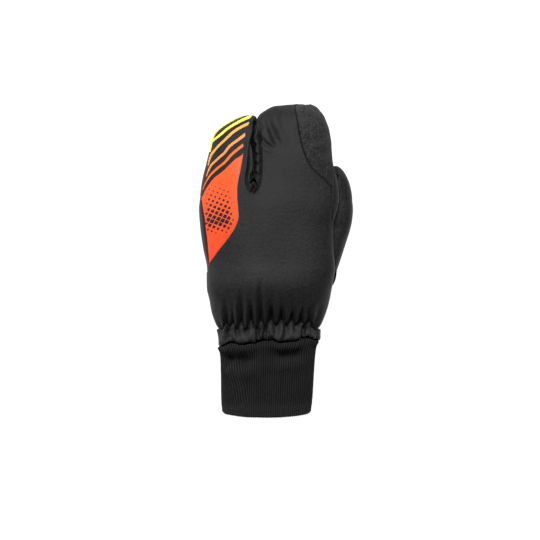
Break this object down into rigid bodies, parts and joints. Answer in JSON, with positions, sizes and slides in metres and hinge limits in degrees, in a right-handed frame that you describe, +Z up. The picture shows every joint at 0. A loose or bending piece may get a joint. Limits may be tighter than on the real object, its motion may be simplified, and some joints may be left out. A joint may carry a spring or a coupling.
{
  "type": "winter cycling mitt",
  "caption": "Padded winter cycling mitt for the left hand, fingers paired in a split claw, with a separate thumb, a gathered wrist and a tall rib-knit cuff, lying on its palm",
  "frame": {"origin": "the middle of the bounding box's underside, on the surface that the mitt lies on", "axes": "+Y from the cuff to the fingertips, +X to the thumb's side, +Z up out of the back of the hand"},
  "size_m": [0.1376, 0.2824, 0.046],
  "materials": {
    "softshell": "black woven softshell, padded, matt with a faint sheen",
    "suede": "dark grey brushed synthetic suede with a mottled nap",
    "palm_cloth": "black close-woven palm cloth, matt",
    "rib_knit": "black 1 by 1 rib knit",
    "print_orange": "raised red-orange film, slightly glossy",
    "print_amber": "raised amber film, slightly glossy",
    "print_yellow": "raised yellow film, slightly glossy"
  },
  "bodies": {
    "root": {"back_panel": "softshell", "index_suede": "suede", "palm_panel": "palm_cloth", "fork_gusset": "softshell", "thumb_pouch": "softshell", "gathered_hem": "softshell", "knit_cuff": "rib_knit", "print_field": "print_orange", "print_band_1": "print_amber", "print_band_2": "print_amber", "print_band_3": "print_yellow", "print_band_4": "print_yellow"}
  },
  "joints": []
}
